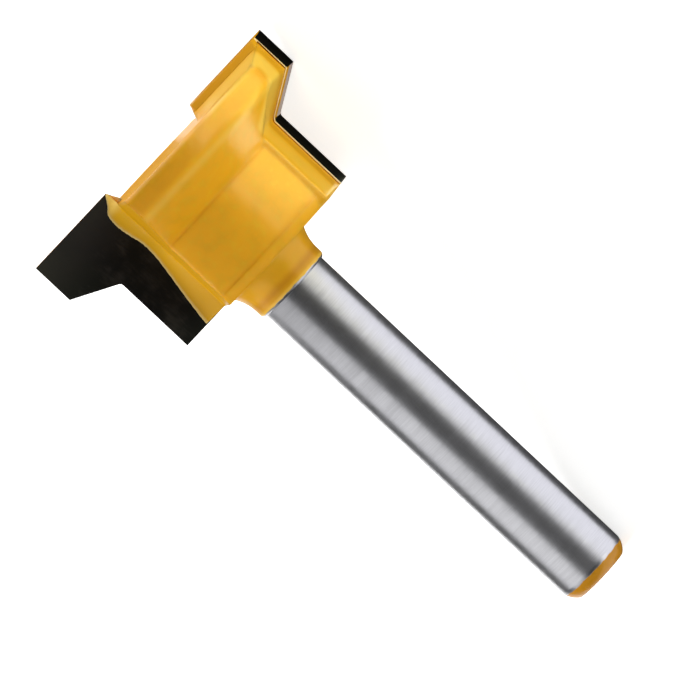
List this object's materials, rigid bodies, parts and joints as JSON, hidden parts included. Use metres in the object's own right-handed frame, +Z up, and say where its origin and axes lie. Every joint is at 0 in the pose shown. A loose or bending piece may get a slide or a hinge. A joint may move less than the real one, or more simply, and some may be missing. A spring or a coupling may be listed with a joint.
{
  "type": "drawer front router bit",
  "caption": "Carbide-tipped router bit for the lipped edge of a drawer front, with a wide cutting rim above a narrower waist on a plain straight shank.",
  "frame": {"origin": "middle of the bounding box on the floor that the bit rests on", "axes": "+X runs level below the bit's axis towards the cutting end, +Z is up, and the axis rises by 8.9 degrees towards +X"},
  "size_m": [0.0508, 0.024, 0.0206],
  "materials": {
    "enamelled_steel": "glossy yellow enamel on the head, collar and shank end, ground bright steel on the shank",
    "carbide": "black, finely ground"
  },
  "bodies": {
    "root": {"steel_body": "enamelled_steel", "carbide_tip_a": "carbide", "carbide_tip_b": "carbide"}
  },
  "joints": []
}
